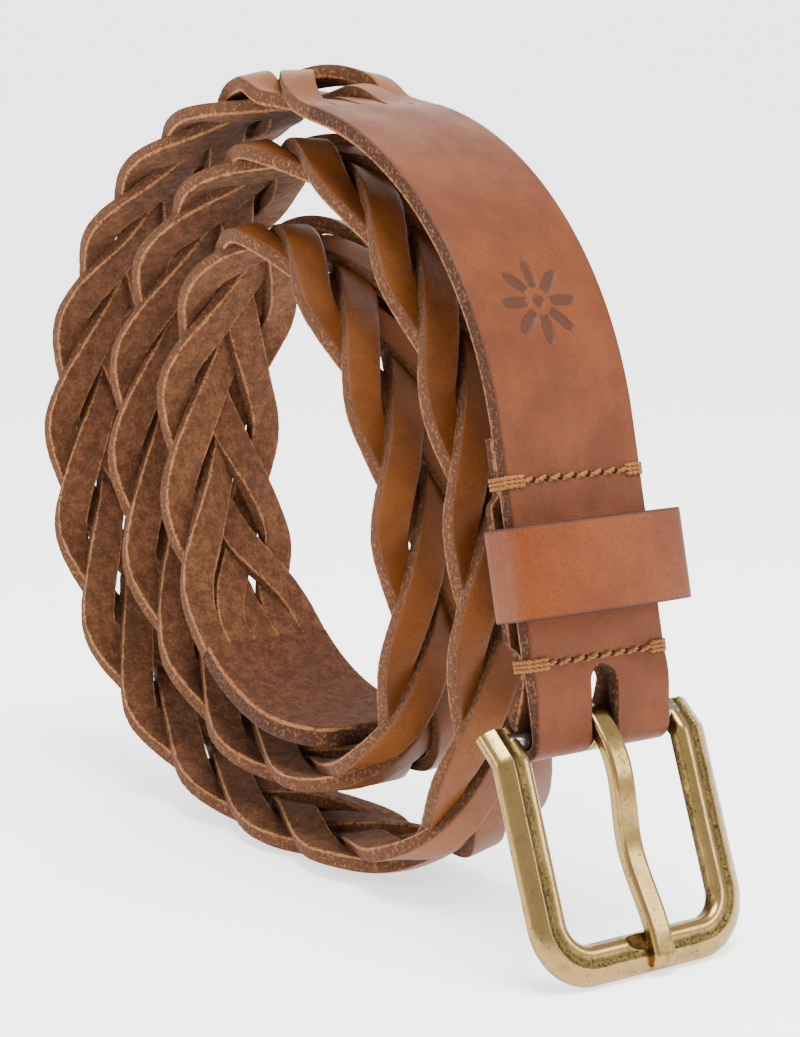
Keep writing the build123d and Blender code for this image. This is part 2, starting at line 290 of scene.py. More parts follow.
def tanned_hide():
    """Leather: pored grain face, napped flesh side and fibrous cut edges with a pale fuzz."""
    tree, given = shader_group(
        "tanned_hide", ("Face", "Face shade", "Edge", "Flesh", "Fuzz"),
        ("Face roughness", "Pore depth", "Burnish"), surface_results)
    place = put(tree, "ShaderNodeTexCoord").outputs["Object"]
    side = put(tree, "ShaderNodeAttribute", attribute_name="hide_side").outputs["Fac"]
    rim = put(tree, "ShaderNodeAttribute", attribute_name="hide_rim").outputs["Fac"]
    pressed = put(tree, "ShaderNodeAttribute", attribute_name="hide_pressed").outputs["Fac"]
    under = number(tree, "MULTIPLY", side, -1.0)
    on_face = step_up(tree, side, 0.80, 0.93)
    on_flesh = step_up(tree, under, 0.80, 0.93)

    clouds = step_up(tree, noise(tree, place, 70.0, 4.0, 0.6), 0.32, 0.68)
    fine = noise(tree, place, 1700.0, 3.0, 0.6)
    cells = put(tree, "ShaderNodeTexVoronoi", {"Vector": place, "Scale": 1500.0},
                feature="DISTANCE_TO_EDGE").outputs["Distance"]
    pores = step_up(tree, cells, 0.0, 0.22)
    face = mix(tree, clouds, given["Face"], given["Face shade"])
    speckle = number(tree, "MULTIPLY_ADD", fine, 0.5, 0.75)
    face = mix(tree, number(tree, "MULTIPLY", number(tree, "SUBTRACT", 1.0, pores), 0.35),
               face, given["Edge"])
    face = put(tree, "ShaderNodeVectorMath", {0: face, "Scale": speckle},
               operation="SCALE").outputs[0]
    burnt = number(tree, "MULTIPLY", step_up(tree, rim, 0.80, 0.97), given["Burnish"])
    burnt = number(tree, "MAXIMUM", burnt, number(tree, "MULTIPLY", pressed, 0.75))
    face = mix(tree, burnt, face, given["Edge"])

    fibres = noise(tree, place, 1300.0, 5.0, 0.7)
    tufts = noise(tree, place, 380.0, 3.0, 0.6)
    fleck = step_up(tree, fibres, 0.50, 0.66)
    edge = mix(tree, number(tree, "MULTIPLY", fleck, 0.55), given["Edge"], given["Fuzz"])
    nap = step_up(tree, tufts, 0.34, 0.66, 0.72, 1.25)
    nap = number(tree, "MULTIPLY", nap, step_up(tree, fibres, 0.3, 0.7, 0.62, 1.4))
    flesh = put(tree, "ShaderNodeVectorMath", {0: given["Flesh"], "Scale": nap},
                operation="SCALE").outputs[0]
    colour = mix(tree, on_face, edge, face)
    colour = mix(tree, on_flesh, colour, flesh)
    ragged = number(tree, "MULTIPLY_ADD", tufts, 0.24, -0.12)
    corner = number(tree, "MULTIPLY", step_up(tree, number(tree, "ADD", rim, ragged), 0.88, 0.95),
                    step_up(tree, number(tree, "ADD", under, ragged), 0.52, 0.72))
    corner = number(tree, "MULTIPLY", corner, step_up(tree, fibres, 0.36, 0.52))
    colour = mix(tree, number(tree, "MULTIPLY", corner, 0.9), colour, given["Fuzz"])

    rough_height = number(tree, "MULTIPLY_ADD", tufts, 0.8, number(tree, "MULTIPLY", fibres, 1.0))
    face_height = number(tree, "MULTIPLY", number(tree, "ADD", pores, fine), given["Pore depth"])
    height = put(tree, "ShaderNodeMix", {0: on_face, 2: rough_height, 3: face_height}).outputs[0]
    normal = put(tree, "ShaderNodeBump", {"Strength": 0.8, "Distance": 0.35 * MM,
                                          "Height": height}).outputs[0]
    shine = number(tree, "MULTIPLY_ADD", clouds, 0.10, given["Face roughness"])
    roughness = put(tree, "ShaderNodeMix", {0: on_face, 2: 0.95, 3: shine}).outputs[0]
    put(tree, "NodeGroupOutput", (colour, roughness, normal))
    return tree


def dressed(name, group, values, metallic=0.0, specular=0.18):
    """A material whose colour, roughness and normal come from a group with these inputs."""
    material = bpy.data.materials.new(name)
    material.use_nodes = True
    tree = material.node_tree
    shader = tree.nodes["Principled BSDF"]
    node = put(tree, "ShaderNodeGroup", node_tree=group)
    for label, value in values.items():
        node.inputs[label].default_value = value
    for label, key in (("Color", "Base Color"), ("Roughness", "Roughness"), ("Normal", "Normal")):
        tree.links.new(node.outputs[label], shader.inputs[key])
    shader.inputs["Metallic"].default_value = metallic
    shader.inputs["Specular IOR Level"].default_value = specular
    return material


def only(made, material, node, body):
    """Gives a piece its one material, its place in the frame and what it stands for."""
    made.data.materials.clear()
    made.data.materials.append(material)
    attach(made, body)
    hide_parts(node)


hide = tanned_hide()
strap_leather = dressed("strap_leather", hide, {
    "Face": (0.122, 0.027, 0.0022, 1), "Face shade": (0.084, 0.017, 0.0013, 1),
    "Edge": (0.034, 0.012, 0.0055, 1), "Flesh": (0.070, 0.024, 0.0100, 1),
    "Fuzz": (0.23, 0.092, 0.034, 1), "Face roughness": 0.46, "Pore depth": 0.10, "Burnish": 0.45})

# Even columns across the strap, closer together where the stamp is.
column_steps = set(range(-140, 141, 10)) | set(range(-84, 85, 2))
strap_columns = [round(k / 140, 4) for k in sorted(column_steps)]
stations, places = [], []


def add_station(face, back, run_from_stamp=1.0):
    """Adds a station as wide as the strap, and how far up the strap it is from the stamp."""
    stations.append((face, back, width_way, strap_width / 2))
    places.append(run_from_stamp)


angle = arc_end
while angle > lean + 0.001:
    direction = Vector((math.cos(angle), 0, math.sin(angle)))
    add_station(roll_centre + direction * (arc_radius + strap_thickness / 2),
                roll_centre + direction * (arc_radius - strap_thickness / 2),
                (angle - stamp_angle) * arc_radius)
    near_stamp = abs(angle - stamp_angle) * arc_radius < stamp_size + 2 * fine_step
    angle -= (fine_step if near_stamp else coarse_step) / arc_radius


def row_dip(up):
    """How far the stitches pull the leather in at a height above the bar."""
    return sum(stitch_pull * math.exp(-((up - row) / stitch_pull_reach) ** 2)
               for row in row_heights.values())


for up in np.arange(straight_length, front_step * 0.4, -front_step):
    bulge = math.sin(math.pi * min(up / row_heights["lower"], 1.0)) * fold_bulge
    thin = ease(1 - up / skive_length) * (strap_thickness - fold_thickness)
    face = strap_thickness / 2 - thin + bulge - row_dip(up)
    add_station(on_strap(face, up), on_strap(-strap_thickness / 2 + bulge * 0.6, up))
bar_middle = on_strap(-strap_thickness / 2 - bar_loop, 0)
for turn in range(0, 181, 9):
    angle = math.radians(turn)
    direction = out_way * math.cos(angle) - up_way * math.sin(angle)
    add_station(bar_middle + direction * (bar_loop + fold_thickness),
                bar_middle + direction * bar_loop)
for up in np.arange(back_step, ply_end, back_step):
    close = ease(up / ply_closes)
    inside = -strap_thickness / 2 - (1 - close) * 2 * bar_loop
    pocket = ease((up - pocket_start) / pocket_ramp) * ease((pocket_end - up) / pocket_ramp)
    inside -= pocket * pocket_depth
    ply = fold_thickness + close * (ply_thickness - fold_thickness)
    add_station(on_strap(inside - ply + row_dip(up), up), on_strap(inside, up))


def stamp(station, across):
    """Depth of a small eight-petalled rosette pressed into the strap's face."""
    along = places[station]
    reach = math.hypot(along, across) / stamp_size
    if reach > 1:
        return 0.0
    petal = abs(math.cos(4 * math.atan2(across, along)))
    inside = ease((petal * 1.05 - reach) * 9) * ease((reach - 0.30) * 14)
    heart = ease((0.17 - reach) * 16)
    return stamp_depth * max(inside, heart)


strap_skin = strip("strap_skin", stations, strap_columns, dent=stamp)

# The slot for the prong is round at its top and open through the fold at the bar.
slot_half = slot_width / 2
slot_foot, slot_back, slot_front = -12.0 * MM, -14.0 * MM, 8.0 * MM
slot_cutter_mesh = bpy.data.meshes.new("slot_cutter")
outline = [(slot_half * math.cos(a), slot_reach - slot_half + slot_half * math.sin(a))
           for a in np.linspace(0, math.pi, 25)]
outline += [(-slot_half, slot_foot), (slot_half, slot_foot)]
rings = [[on_strap(out, up, across) for across, up in outline] for out in (slot_back, slot_front)]
count = len(outline)
slot_cutter_mesh.from_pydata(
    rings[0] + rings[1], [],
    [tuple(range(count)), tuple(range(2 * count - 1, count - 1, -1))]
    + [(j, (j + 1) % count, (j + 1) % count + count, j + count) for j in range(count)])


def cut(made, cutter_mesh):
    """Subtracts a closed mesh from a piece."""
    cutter = face_out("cutter", cutter_mesh)
    modifier = made.modifiers.new("cut", "BOOLEAN")
    modifier.operation = "DIFFERENCE"
    modifier.object = cutter
    modifier.solver = "EXACT"
    shown = made.evaluated_get(bpy.context.evaluated_depsgraph_get())
    result = bpy.data.meshes.new_from_object(shown)
    made.modifiers.clear()
    made.data = result
    bpy.data.objects.remove(cutter)


cut(strap_skin, slot_cutter_mesh)
only(strap_skin, strap_leather, "strap", "belt")

# ---- Strands -----------------------------------------------------------------------------------
# Five strands, slit from the same hide as the solid strap and braided flat, each over two and
# under two. Their grain side is smooth, their back and their cut edges are raw suede.
strand_count = 5
strand_width = 8.1 * MM
strand_thickness = 3.5 * MM
braid_pitch = 140.0 * MM
braid_swing = 12.6 * MM
braid_rise = 2.2 * MM
braid_spread = 30.0 * MM
start_turn = 0.12
straightness = 0.95
strand_arch = 3.2 * MM
strand_step = 1.2 * MM
slit_gap = 0.2 * MM
side_drift = 2.6 * MM
height_drift = 1.3 * MM
arch_start, arch_full = 2.0 * MM, 20.0 * MM
arch_falls, arch_gone = 24.0 * MM, 58.0 * MM
tip_length = 46.0 * MM
roll = np.array([
    (2, 174), (-32, 168.5), (-67, 148), (-97, 91), (-62, 24), (5, 4.6), (63, 20), (74, 74),
    (49, 138), (4, 161.5), (-48, 136), (-65, 88), (-45, 42), (5, 19.5), (44, 36), (49, 80),
    (26, 124), (-8, 142.5), (-36, 117), (-40, 80), (-26, 49), (-3, 34), (23, 31)]) * MM


def smooth_curve(points, way_in, way_out, samples):
    """Smooth curve through points with set tangents at its ends, as evenly spaced points."""
    knots = np.concatenate(([0], np.cumsum(np.linalg.norm(np.diff(points, axis=0), axis=1))))
    steps = np.diff(knots)
    slopes = np.diff(points, axis=0) / steps[:, None]
    count = len(points)
    system, sides = np.eye(count), np.zeros((count, 2))
    sides[0], sides[-1] = way_in, way_out
    for k in range(1, count - 1):
        system[k, k - 1:k + 2] = steps[k], 2 * (steps[k - 1] + steps[k]), steps[k - 1]
        sides[k] = 3 * (steps[k] * slopes[k - 1] + steps[k - 1] * slopes[k])
    tangents = np.linalg.solve(system, sides)
    at = np.linspace(0, knots[-1], samples)
    k = np.clip(np.searchsorted(knots, at, side="right") - 1, 0, count - 2)
    h = steps[k][:, None]
    t = ((at - knots[k]) / steps[k])[:, None]
    curve = (points[k] * (2 * t**3 - 3 * t**2 + 1) + tangents[k] * h * (t**3 - 2 * t**2 + t)
             + points[k + 1] * (3 * t**2 - 2 * t**3) + tangents[k + 1] * h * (t**3 - t**2))
    run = np.concatenate(([0], np.cumsum(np.linalg.norm(np.diff(curve, axis=0), axis=1))))
    even = np.linspace(0, run[-1], samples)
    return np.column_stack([np.interp(even, run, curve[:, axis]) for axis in (0, 1)]), run[-1]


def unit(x, z):
    """Direction of length 1 in the side view."""
    return np.array((x, z)) / math.hypot(x, z)


arc_last = arc_centre + arc_radius * np.array((math.cos(arc_end), math.sin(arc_end)))
roll_line, roll_length = smooth_curve(np.vstack((arc_last, roll)),
                                      unit(-math.sin(arc_end), math.cos(arc_end)),
                                      unit(1, 0.03), 1600)
roll_line = roll_line + drawing_shift
braid_length = roll_length - tip_length
braid_samples = int(len(roll_line) * braid_length / roll_length)


def vector(tree, operation, first, second):
    """A Vector Math node's result. Scale takes a number second."""
    key = "Scale" if operation == "SCALE" else 1
    return put(tree, "ShaderNodeVectorMath", {0: first, key: second},
               operation=operation).outputs[0]


def new_tree(name, numbers):
    """A Geometry Nodes tree with a geometry, named numbers and a material as its inputs."""
    tree = bpy.data.node_groups.new(name, "GeometryNodeTree")
    tree.interface.new_socket("Geometry", in_out="INPUT", socket_type="NodeSocketGeometry")
    for label in numbers:
        tree.interface.new_socket(label, in_out="INPUT", socket_type="NodeSocketFloat")
    tree.interface.new_socket("Material", in_out="INPUT", socket_type="NodeSocketMaterial")
    tree.interface.new_socket("Geometry", in_out="OUTPUT", socket_type="NodeSocketGeometry")
    return tree, tree.nodes.new("NodeGroupInput").outputs


def finish_tree(tree, geometry, material):
    """Ends a tree in Realize Instances and Set Material."""
    real = put(tree, "GeometryNodeRealizeInstances", {"Geometry": geometry}).outputs[0]
    painted = put(tree, "GeometryNodeSetMaterial", {"Geometry": real, "Material": material})
    put(tree, "NodeGroupOutput", {"Geometry": painted.outputs[0]})


def grow(name, data, tree, values, material):
    """Runs a tree with named inputs on some data, and gives the result as a plain mesh object."""
    source = bpy.data.objects.new(name + "_source", data)
    bpy.context.collection.objects.link(source)
    modifier = source.modifiers.new(name, "NODES")
    modifier.node_group = tree
    for item in tree.interface.items_tree:
        if item.in_out == "INPUT" and item.name in values:
            modifier[item.identifier] = values[item.name]
        if item.in_out == "INPUT" and item.name == "Material":
            modifier[item.identifier] = material
    evaluated = source.evaluated_get(bpy.context.evaluated_depsgraph_get())
    mesh = bpy.data.meshes.new_from_object(evaluated)
    bpy.data.objects.remove(source)
    mesh.name = name
    made = bpy.data.objects.new(name, mesh)
    bpy.context.collection.objects.link(made)
    return made


def path_curve(name, lines, closed=False):
    """Curve data of straight runs through one or more lines of points."""
    data = bpy.data.curves.new(name, "CURVE")
    data.dimensions = "3D"
    for line in lines:
        spline = data.splines.new("POLY")
        spline.points.add(len(line) - 1)
        spline.points.foreach_set("co", np.column_stack((line, np.ones(len(line)))).ravel())
        spline.use_cyclic_u = closed
    return data


def swing_at(turn):
    """Side position of a strand from -1 to 1."""
    return math.asin(straightness * math.cos(2 * math.pi * turn)) / math.asin(straightness)


def side_slot(strand, turn):
    """Place of a strand among its neighbours where they lie side by side."""
    order = sorted(range(strand_count), key=lambda other: swing_at(turn + other / strand_count))
    return order.index(strand) - (strand_count - 1) / 2


def braid_tree():
    """Grows one strand of a flat braid along a path, with its sides marked for the material."""
    tree, given = new_tree("braided_strand", (
        "Turn", "Pitch", "Swing", "Rise", "Width", "Thickness", "Spread", "First slot",
        "Last slot", "Slot width", "Slit thickness", "Looseness", "Arch", "Seed", "Step"))

    def keep(geometry, name, value, kind="FLOAT_VECTOR"):
        return put(tree, "GeometryNodeStoreNamedAttribute",
                   {"Geometry": geometry, "Name": name, "Value": value},
                   data_type=kind, domain="POINT").outputs[0]

    def kept(name, kind="FLOAT_VECTOR"):
        return put(tree, "GeometryNodeInputNamedAttribute", {"Name": name},
                   data_type=kind).outputs[0]

    def product(first, *others):
        for other in others:
            first = number(tree, "MULTIPLY", first, other)
        return first

    def total(first, *others):
        for other in others:
            first = number(tree, "ADD", first, other)
        return first

    def drift(along, scale, offset):
        start = number(tree, "MULTIPLY_ADD", given["Seed"], 13.7, offset)
        place = number(tree, "MULTIPLY_ADD", along, scale, start)
        wander = put(tree, "ShaderNodeTexNoise", {"W": place, "Scale": 1.0, "Detail": 1.0},
                     noise_dimensions="1D").outputs[0]
        return product(number(tree, "SUBTRACT", wander, 0.5), given["Looseness"])

    path = put(tree, "GeometryNodeResampleCurve",
               {"Curve": given["Geometry"], "Length": given["Step"]}, mode="LENGTH").outputs[0]
    along = put(tree, "GeometryNodeSplineParameter").outputs["Length"]
    whole = put(tree, "GeometryNodeSplineLength").outputs["Length"]
    heading = put(tree, "GeometryNodeInputTangent").outputs[0]
    out = vector(tree, "CROSS_PRODUCT", (0, 1, 0), heading)
    turn = total(given["Turn"], number(tree, "DIVIDE", along, given["Pitch"]))
    from_end = number(tree, "DIVIDE", number(tree, "SUBTRACT", whole, along), given["Spread"])
    opened = product(step_up(tree, number(tree, "DIVIDE", along, given["Spread"]), 0.0, 1.0),
                     step_up(tree, from_end, 0.0, 1.0))

    def wave(times, function="SINE"):
        return number(tree, function, product(turn, 2 * math.pi * times))

    bend = product(wave(1, "COSINE"), straightness)
    reach = number(tree, "DIVIDE", number(tree, "ARCSINE", bend), math.asin(straightness))
    late = number(tree, "GREATER_THAN", along, product(whole, 0.5))
    slot_change = number(tree, "SUBTRACT", given["Last slot"], given["First slot"])
    slot = number(tree, "MULTIPLY_ADD", late, slot_change, given["First slot"])
    side_by_side = product(slot, given["Slot width"], number(tree, "SUBTRACT", 1.0, opened))
    across = total(product(reach, given["Swing"], opened), side_by_side,
                   product(drift(along, 22.0, 1.0), opened, side_drift))
    hump = product(step_up(tree, along, arch_start, arch_full),
                   step_up(tree, along, arch_gone, arch_falls))
    upper = step_up(tree, wave(2), -0.2, 0.6)
    rise = total(product(wave(2), given["Rise"], opened),
                 product(drift(along, 30.0, 5.0), opened, height_drift),
                 product(hump, upper, given["Arch"]))
    sway = total(product(wave(1), 0.07), product(wave(3), 0.14),
                 product(drift(along, 26.0, 9.0), 0.5))
    path = keep(path, "out", out)
    path = keep(path, "tilt", product(sway, opened, -1.0), "FLOAT")
    path = keep(path, "opened", opened, "FLOAT")
    moved = vector(tree, "ADD", vector(tree, "SCALE", (0, 1, 0), across),
                   vector(tree, "SCALE", kept("out"), rise))
    path = put(tree, "GeometryNodeSetPosition", {"Geometry": path, "Offset": moved}).outputs[0]

    strand_way = put(tree, "GeometryNodeInputTangent").outputs[0]
    level = put(tree, "ShaderNodeVectorMath",
                {0: vector(tree, "CROSS_PRODUCT", strand_way, kept("out"))},
                operation="NORMALIZE").outputs[0]
    face = vector(tree, "CROSS_PRODUCT", level, strand_way)
    cosine = number(tree, "COSINE", kept("tilt", "FLOAT"))
    sine = number(tree, "SINE", kept("tilt", "FLOAT"))
    path = keep(path, "flat", vector(tree, "ADD", vector(tree, "SCALE", level, cosine),
                                     vector(tree, "SCALE", face, sine)))
    path = keep(path, "face_way", vector(tree, "SUBTRACT", vector(tree, "SCALE", face, cosine),
                                         vector(tree, "SCALE", level, sine)))
    path = keep(path, "centre", put(tree, "GeometryNodeInputPosition").outputs[0])

    ring = put(tree, "GeometryNodeCurvePrimitiveCircle",
               {"Resolution": 40, "Radius": 1.0}).outputs[0]
    spot = put(tree, "ShaderNodeSeparateXYZ",
               {0: put(tree, "GeometryNodeInputPosition").outputs[0]})

    def squared(value):
        size = number(tree, "POWER", number(tree, "ABSOLUTE", value), 0.24)
        return product(size, number(tree, "SIGN", value))

    corner = put(tree, "ShaderNodeCombineXYZ",
                 {0: squared(spot.outputs[0]), 1: squared(spot.outputs[1])}).outputs[0]
    ring = keep(ring, "profile", corner)
    body = put(tree, "GeometryNodeCurveToMesh",
               {"Curve": path, "Profile Curve": ring, "Fill Caps": True}).outputs[0]

    shape = put(tree, "ShaderNodeSeparateXYZ", {0: kept("profile")})
    centre, here = kept("centre"), kept("opened", "FLOAT")
    slit_width = number(tree, "SUBTRACT", given["Slot width"], slit_gap)
    width = number(tree, "MULTIPLY_ADD", here, number(tree, "SUBTRACT", given["Width"], slit_width),
                   slit_width)
    thickness = number(tree, "MULTIPLY_ADD", here,
                       number(tree, "SUBTRACT", given["Thickness"], given["Slit thickness"]),
                       given["Slit thickness"])
    rough = noise(tree, put(tree, "GeometryNodeInputPosition").outputs[0], 620.0, 4.0, 0.6)
    wobble = number(tree, "MULTIPLY_ADD", number(tree, "SUBTRACT", rough, 0.5), 0.22, 1.0)
    sideways = product(shape.outputs[0], 0.5, width, wobble)
    upwards = product(shape.outputs[1], 0.5, thickness)
    surface = vector(tree, "ADD", centre, vector(
        tree, "ADD", vector(tree, "SCALE", kept("flat"), sideways),
        vector(tree, "SCALE", kept("face_way"), upwards)))
    body = put(tree, "GeometryNodeSetPosition", {"Geometry": body, "Position": surface}).outputs[0]
    body = keep(body, "hide_side", shape.outputs[1], "FLOAT")
    body = keep(body, "hide_rim", number(tree, "ABSOLUTE", shape.outputs[0]), "FLOAT")
    body = put(tree, "GeometryNodeSetShadeSmooth", {"Geometry": body}).outputs[0]
    finish_tree(tree, body, given["Material"])
    return tree


def clear_marks(made, names):
    """Removes the marks that only the tree needed."""
    for name in names:
        mark = made.data.attributes.get(name)
        if mark:
            made.data.attributes.remove(mark)


strand_leather = dressed("strand_leather", hide, {
    "Face": (0.165, 0.050, 0.0090, 1), "Face shade": (0.110, 0.030, 0.0050, 1),
    "Edge": (0.066, 0.025, 0.0110, 1), "Flesh": (0.082, 0.031, 0.0120, 1),
    "Fuzz": (0.27, 0.118, 0.045, 1), "Face roughness": 0.40, "Pore depth": 0.12, "Burnish": 0.5})
strand_tree = braid_tree()
braid_points = np.column_stack((roll_line[:braid_samples, 0], np.zeros(braid_samples),
                                roll_line[:braid_samples, 1]))
for strand in range(strand_count):
    name = f"strand_{strand + 1}"
    woven = grow("woven_" + name, path_curve(name + "_path", [braid_points]), strand_tree, {
        "Turn": start_turn + strand / strand_count, "Pitch": braid_pitch, "Swing": braid_swing,
        "Rise": braid_rise, "Width": strand_width, "Thickness": strand_thickness,
        "Spread": braid_spread, "First slot": side_slot(strand, start_turn),
        "Last slot": side_slot(strand, start_turn + braid_length / braid_pitch),
        "Slot width": strap_width / strand_count, "Slit thickness": strap_thickness,
        "Looseness": 1.0, "Arch": strand_arch, "Seed": float(strand), "Step": strand_step},
        strand_leather)
    clear_marks(woven, ("out", "tilt", "opened", "flat", "face_way", "centre", "profile"))
    only(woven, strand_leather, name, "belt")

# ---- Tip ---------------------------------------------------------------------------------------
# Plain leather end of the belt, two plies of the strap's leather glued over the strands' ends,
# which it holds together. It narrows to a blunt point that goes through the buckle first.
tip_thickness = 4.6 * MM
tip_width = 34.0 * MM
tip_point = 18.0 * MM
tip_line = roll_line[braid_samples - 2:]
tip_ways = np.gradient(tip_line, axis=0)
tip_ways = tip_ways / np.linalg.norm(tip_ways, axis=1)[:, None]
stations = []
for k in range(len(tip_line)):
    share = k / (len(tip_line) - 1)
    narrowing = math.sqrt(max(1 - max(share - 0.5, 0) ** 2 * 4, 0))
    width = tip_point + (tip_width - tip_point) * narrowing
    middle = Vector((tip_line[k][0], 0, tip_line[k][1]))
    outward = width_way.cross(Vector((tip_ways[k][0], 0, tip_ways[k][1])))
    stations.append((middle + outward * tip_thickness / 2, middle - outward * tip_thickness / 2,
                     width_way, width / 2))
even_columns = [k / 16 for k in range(-16, 17)]
tip_skin = strip("tip_skin", stations, even_columns)
only(tip_skin, strap_leather, "tip", "belt")

# ---- Stitching ---------------------------------------------------------------------------------
# Two rows of waxed thread through both plies, sewn through awl holes. Each row ends in a tack
# that is wrapped three times round each edge of the strap.
stitch_count = 8
stitch_pitch = 3.6 * MM
thread_radius = 0.50 * MM
stitch_rise = 0.62 * MM
stitch_slant = 0.42 * MM
tack_reach = 4.2 * MM
tack_turns = 3
tack_step = 0.85 * MM
thread_lay = 2.4 * MM
thread_step = 0.15 * MM
tack_rise = 0.6 * MM
tack_dive = 1.0 * MM
tack_corner = 0.5 * MM
tack_edge = 0.8 * MM
stitch_sink = 0.25 * MM
hole_gap = 0.35 * MM
hole_size = {"Length": 1.6 * MM, "Width": 1.15 * MM, "Depth": 0.62 * MM}


def thread_look():
    """Waxed linen thread: fine fibres along the strand, darker where the wax has gathered."""
    tree, given = shader_group("thread_look", ("Thread", "Wax"), (), surface_results)
    place = put(tree, "ShaderNodeTexCoord").outputs["Object"]
    fibres = noise(tree, place, 3500.0, 3.0, 0.6)
    colour = mix(tree, step_up(tree, fibres, 0.35, 0.6), given["Wax"], given["Thread"])
    normal = put(tree, "ShaderNodeBump", {"Strength": 0.5, "Distance": 0.1 * MM,
                                          "Height": fibres}).outputs[0]
    put(tree, "NodeGroupOutput", (colour, number(tree, "MULTIPLY_ADD", fibres, 0.2, 0.5), normal))
    return tree


waxed_thread = dressed("waxed_thread", thread_look(),
                       {"Thread": (0.24, 0.095, 0.025, 1), "Wax": (0.10, 0.034, 0.009, 1)})
# Near-black hide for the plugs in the awl holes: painted shade inside the holes.
hole_shade = dressed("awl_hole_shade", hide, {
    "Face": (0.010, 0.005, 0.003, 1), "Face shade": (0.006, 0.003, 0.002, 1),
    "Edge": (0.010, 0.005, 0.003, 1), "Flesh": (0.01, 0.005, 0.003, 1),
    "Fuzz": (0.02, 0.01, 0.005, 1), "Face roughness": 0.9, "Pore depth": 0.1, "Burnish": 0.0})


def thread_tree():
    """Lays a two-ply twisted thread along every line of a curve."""
    tree, given = new_tree("twisted_thread", ("Radius", "Lay", "Step"))
    path = put(tree, "GeometryNodeResampleCurve",
               {"Curve": given["Geometry"], "Length": given["Step"]}, mode="LENGTH").outputs[0]
    along = put(tree, "GeometryNodeSplineParameter").outputs["Length"]
    twist = number(tree, "MULTIPLY", number(tree, "DIVIDE", along, given["Lay"]), 2 * math.pi)
    path = put(tree, "GeometryNodeSetCurveTilt", {"Curve": path, "Tilt": twist}).outputs[0]
    ring = put(tree, "GeometryNodeCurvePrimitiveCircle",
               {"Resolution": 14, "Radius": given["Radius"]}).outputs[0]
    spot = put(tree, "GeometryNodeInputPosition").outputs[0]
    parts = put(tree, "ShaderNodeSeparateXYZ", {0: spot})
    angle = number(tree, "ARCTAN2", parts.outputs[1], parts.outputs[0])
    lobe = number(tree, "ABSOLUTE", number(tree, "COSINE", angle))
    swell = number(tree, "MULTIPLY_ADD", lobe, 0.42, 0.64)
    ring = put(tree, "GeometryNodeSetPosition",
               {"Geometry": ring, "Position": vector(tree, "SCALE", spot, swell)}).outputs[0]
    body = put(tree, "GeometryNodeCurveToMesh",
               {"Curve": path, "Profile Curve": ring, "Fill Caps": True}).outputs[0]
    body = put(tree, "GeometryNodeSetShadeSmooth", {"Geometry": body}).outputs[0]
    finish_tree(tree, body, given["Material"])
    return tree


def hole_tree():
    """Sets a small flattened dark plug in each hole of a line of points, as painted shade inside the
    hole.
    """
    tree, given = new_tree("awl_holes", ("Length", "Width", "Depth"))
    plug = put(tree, "GeometryNodeMeshUVSphere",
               {"Segments": 12, "Rings": 8, "Radius": 0.5}).outputs[0]
    size = put(tree, "ShaderNodeCombineXYZ",
               (given["Depth"], given["Length"], given["Width"])).outputs[0]
    turned = put(tree, "GeometryNodeInstanceOnPoints", {
        "Points": given["Geometry"], "Instance": plug, "Rotation": (0.35, -lean, 0),
        "Scale": size}).outputs[0]
    finish_tree(tree, turned, given["Material"])
    return tree


def edge_loop(height, side):
    """One turn of a tack: round one edge of the strap and back through both plies."""
    front, back = strap_thickness / 2, -strap_thickness / 2 - ply_thickness
    lift, start = thread_radius * 0.6, side * (strap_width / 2 - tack_reach)
    edge = side * (strap_width / 2 + thread_radius * 0.7)
    inner = side * (strap_width / 2 - tack_edge)
    rising = start + side * tack_rise
    corners = [(front - tack_dive, start), (front + lift, rising), (front + lift, inner),
               (front - tack_corner, edge), (back + tack_corner, edge), (back - lift, inner),
               (back - lift, rising), (back + tack_dive, start)]
    return [tuple(on_strap(out, height, across)) for out, across in corners]


sewing, plugging = thread_tree(), hole_tree()
for name, row in row_heights.items():
    lines, holes = [], []
    face = strap_thickness / 2 - stitch_pull
    back = -strap_thickness / 2 - ply_thickness + stitch_pull
    for out, way in ((face, 1), (back, -1)):
        for k in range(stitch_count):
            start = (k - stitch_count / 2) * stitch_pitch + hole_gap
            length = stitch_pitch - 2 * hole_gap
            line = []
            for t in np.linspace(0, 1, 13):
                high = math.sin(math.pi * t) * stitch_rise - stitch_sink
                line.append(tuple(on_strap(out + way * high, row + (t - 0.5) * 2 * stitch_slant,
                                           start + t * length)))
            lines.append(line)
        holes += [tuple(on_strap(out, row, (k - stitch_count / 2) * stitch_pitch))
                  for k in range(stitch_count + 1)]
    for side in (-1, 1):
        lines += [edge_loop(row + (k - (tack_turns - 1) / 2) * tack_step, side)
                  for k in range(tack_turns)]
    node = name + "_stitching"
    sewn = grow(node + "_thread", path_curve(node + "_path", lines), sewing,
                {"Radius": thread_radius, "Lay": thread_lay, "Step": thread_step}, waxed_thread)
    only(sewn, waxed_thread, node, "belt")
    # Dark plugs at the holes: painted shade where the awl holes are.
    hole_mesh = bpy.data.meshes.new(node + "_points")
    hole_mesh.from_pydata(holes, [], [])
    shade_plugs = grow(node + "_holes", hole_mesh, plugging, hole_size, hole_shade)
    only(shade_plugs, hole_shade, node, "belt")

